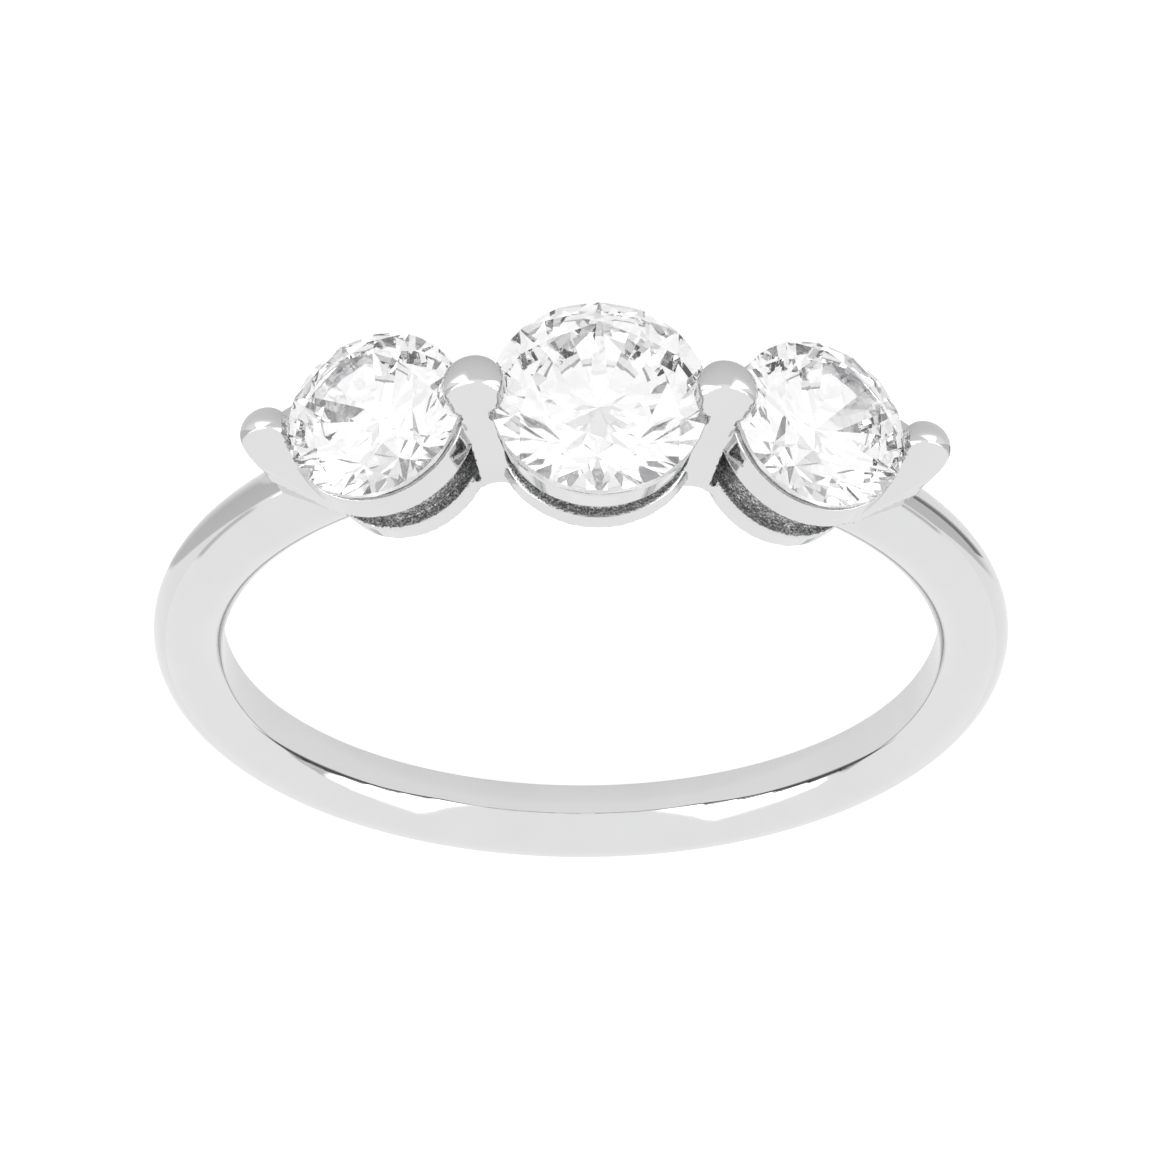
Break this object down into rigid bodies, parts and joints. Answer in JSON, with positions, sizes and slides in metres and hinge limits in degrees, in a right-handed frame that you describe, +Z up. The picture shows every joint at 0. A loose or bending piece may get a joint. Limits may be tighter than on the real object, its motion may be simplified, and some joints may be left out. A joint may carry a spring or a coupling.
{
  "type": "three-stone ring",
  "caption": "Finger ring with a row of round cut stones in open collars held by shared claws, on a slim rounded band.",
  "frame": {"origin": "on the floor, under the centre of the box round the ring as it lies on its side", "axes": "+Z up, about 4.4 degrees off the finger axis; the stones face -Y; +X along the row of stones"},
  "size_m": [0.0206, 0.0224, 0.005],
  "materials": {
    "metal": "polished white metal, bead blasted in the grooves",
    "stone": "clear, polished facets"
  },
  "bodies": {
    "root": {"mount": "metal", "centre_stone": "stone", "left_stone": "stone", "right_stone": "stone"}
  },
  "joints": []
}
